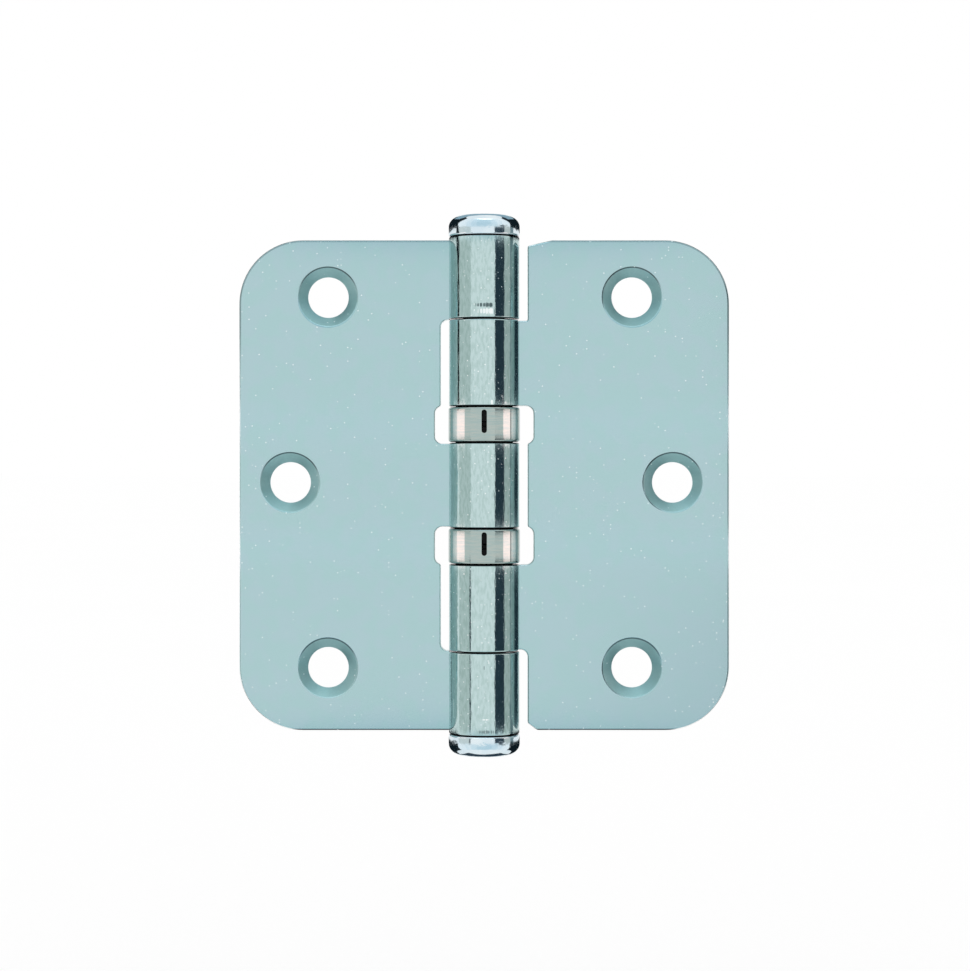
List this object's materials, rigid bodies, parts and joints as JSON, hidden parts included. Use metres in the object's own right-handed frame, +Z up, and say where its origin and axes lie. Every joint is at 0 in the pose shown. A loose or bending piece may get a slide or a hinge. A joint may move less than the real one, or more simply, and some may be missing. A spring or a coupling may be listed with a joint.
{
  "type": "ball bearing butt hinge",
  "caption": "Square butt hinge with rounded leaf corners, countersunk screw holes, a rolled barrel with ball bearing rings and a pin with button caps.",
  "frame": {"origin": "the middle of the pin, on its axis", "axes": "+Z up along the pin, +X across the two-knuckle leaf, +Y to the backs of the leaves; the countersunk faces look along -Y"},
  "size_m": [0.089, 0.013, 0.0976],
  "materials": {
    "zinc_plated_steel": "satin bright zinc plate with fine bright specks",
    "bright_pin_steel": "polished and plated",
    "nickel_plated_steel": "polished nickel",
    "race_steel": "ground steel with dark grease",
    "ball_steel": "polished balls",
    "cage_brass": "pressed brass"
  },
  "bodies": {
    "fixed_leaf": {"three_knuckle_leaf": "zinc_plated_steel", "hinge_pin": "bright_pin_steel", "bottom_plug": "bright_pin_steel", "upper_bearing_shell": "nickel_plated_steel", "upper_bearing_bottom_race": "race_steel", "lower_bearing_top_race": "race_steel"},
    "swing_leaf": {"two_knuckle_leaf": "zinc_plated_steel", "upper_bearing_top_race": "race_steel", "lower_bearing_shell": "nickel_plated_steel", "lower_bearing_bottom_race": "race_steel"},
    "upper_ball_set": {"upper_bearing_cage": "cage_brass", "upper_bearing_ball_01": "ball_steel", "upper_bearing_ball_02": "ball_steel", "upper_bearing_ball_03": "ball_steel", "upper_bearing_ball_04": "ball_steel", "upper_bearing_ball_05": "ball_steel", "upper_bearing_ball_06": "ball_steel", "upper_bearing_ball_07": "ball_steel", "upper_bearing_ball_08": "ball_steel", "upper_bearing_ball_09": "ball_steel", "upper_bearing_ball_10": "ball_steel", "upper_bearing_ball_11": "ball_steel", "upper_bearing_ball_12": "ball_steel", "upper_bearing_ball_13": "ball_steel", "upper_bearing_ball_14": "ball_steel"},
    "lower_ball_set": {"lower_bearing_cage": "cage_brass", "lower_bearing_ball_01": "ball_steel", "lower_bearing_ball_02": "ball_steel", "lower_bearing_ball_03": "ball_steel", "lower_bearing_ball_04": "ball_steel", "lower_bearing_ball_05": "ball_steel", "lower_bearing_ball_06": "ball_steel", "lower_bearing_ball_07": "ball_steel", "lower_bearing_ball_08": "ball_steel", "lower_bearing_ball_09": "ball_steel", "lower_bearing_ball_10": "ball_steel", "lower_bearing_ball_11": "ball_steel", "lower_bearing_ball_12": "ball_steel", "lower_bearing_ball_13": "ball_steel", "lower_bearing_ball_14": "ball_steel"}
  },
  "joints": [
    {"name": "leaf_swing", "type": "hinge", "parent": "fixed_leaf", "child": "swing_leaf", "pos_m": [0, 0, 0], "axis": [0, 0, -1], "range_deg": [-130, 180]},
    {"name": "upper_ball_set_turn", "type": "hinge", "parent": "fixed_leaf", "child": "upper_ball_set", "pos_m": [0, 0, 0.01098], "axis": [0, 0, -1], "range_deg": [-65, 90]},
    {"name": "lower_ball_set_turn", "type": "hinge", "parent": "fixed_leaf", "child": "lower_ball_set", "pos_m": [0, 0, -0.01098], "axis": [0, 0, -1], "range_deg": [-65, 90]}
  ],
  "couplings": [
    {"joint": "upper_ball_set_turn", "follows": "leaf_swing", "ratio": 0.5},
    {"joint": "lower_ball_set_turn", "follows": "leaf_swing", "ratio": 0.5}
  ]
}
